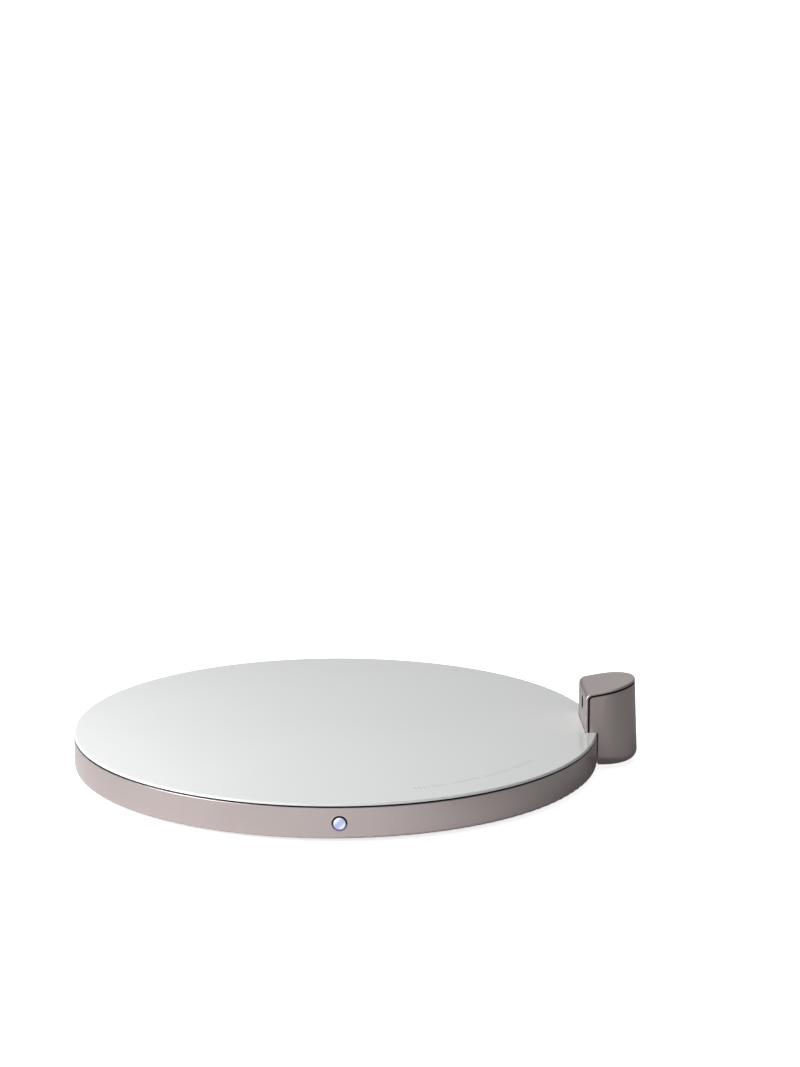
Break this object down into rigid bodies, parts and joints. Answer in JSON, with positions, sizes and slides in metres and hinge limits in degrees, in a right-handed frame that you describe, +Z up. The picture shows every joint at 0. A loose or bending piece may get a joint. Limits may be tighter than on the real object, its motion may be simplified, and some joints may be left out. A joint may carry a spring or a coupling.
{
  "type": "electric mug warmer",
  "caption": "Thin round mug-warming pad with a glossy panel, a metal rim band with a small lit push button, and a short D-shaped sensor post on its edge.",
  "frame": {"origin": "on the pad's axis, on the surface that the foot mat stands on", "axes": "+Z up; +X from the pad's axis to the sensor post; -Y to the push button, which is the front; +Y to the power inlet at the back"},
  "size_m": [0.1123, 0.1041, 0.0169],
  "materials": {
    "panel_white": "glossy white",
    "rim_metal": "satin, anodised a warm mauve grey",
    "black_seal": "matte black",
    "dark_plastic": "matte, moulded",
    "foot_rubber": "matte rubber",
    "screw_steel": "zinc plated",
    "shield_aluminium": "bare sheet",
    "ferrite": "dark grey sintered disc",
    "coil_copper": "enamelled copper litz",
    "thermal_grey": "matte silicone sheet",
    "thermistor_epoxy": "epoxy bead",
    "wire_red": "insulated wire",
    "board_green": "circuit board with green solder mask",
    "chip_black": "moulded epoxy",
    "chip_grey": "pressed powder",
    "can_steel": "plated sheet",
    "capacitor_brown": "ceramic body",
    "plunger_black": "moulded",
    "led_white": "clear resin over a pale body",
    "window_dark": "glossy, infrared passing",
    "bracket_plastic": "moulded",
    "ribbon_amber": "film ribbon",
    "socket_white": "moulded",
    "button_lit": "translucent, lit from behind"
  },
  "bodies": {
    "pad": {"top_panel": "panel_white", "panel_seal": "black_seal", "rim_ring": "rim_metal", "base_cover": "dark_plastic", "foot_mat": "foot_rubber", "cover_screws": "screw_steel", "inner_frame": "dark_plastic", "shield_plate": "shield_aluminium", "ferrite_disc": "ferrite", "heating_coil": "coil_copper", "coil_leads": "coil_copper", "thermal_pad": "thermal_grey", "thermistor": "thermistor_epoxy", "thermistor_wires": "wire_red", "main_board": "board_green", "control_chip": "chip_black", "crystal": "can_steel", "power_transistors": "chip_black", "tuning_capacitors": "capacitor_brown", "power_inductor": "chip_grey", "inlet_chip": "chip_black", "small_capacitors": "capacitor_brown", "usb_shell": "can_steel", "usb_tongue": "chip_black", "button_guide": "dark_plastic", "switch_body": "can_steel", "status_leds": "led_white", "post_shell": "rim_metal", "post_cap": "rim_metal", "post_gasket": "black_seal", "sensor_window": "window_dark", "sensor_can": "can_steel", "sensor_board": "board_green", "post_bracket": "bracket_plastic", "bracket_screws": "screw_steel", "post_screw": "screw_steel", "sensor_ribbon": "ribbon_amber", "ribbon_socket": "socket_white"},
    "button": {"button_cap": "button_lit", "switch_plunger": "plunger_black"}
  },
  "joints": [
    {"name": "button_press", "type": "slide", "parent": "pad", "child": "button", "axis": [0, 1, 0], "range_m": [0, 0.00035], "stiffness_N_per_m": 2500, "springref_m": -0.0002}
  ]
}
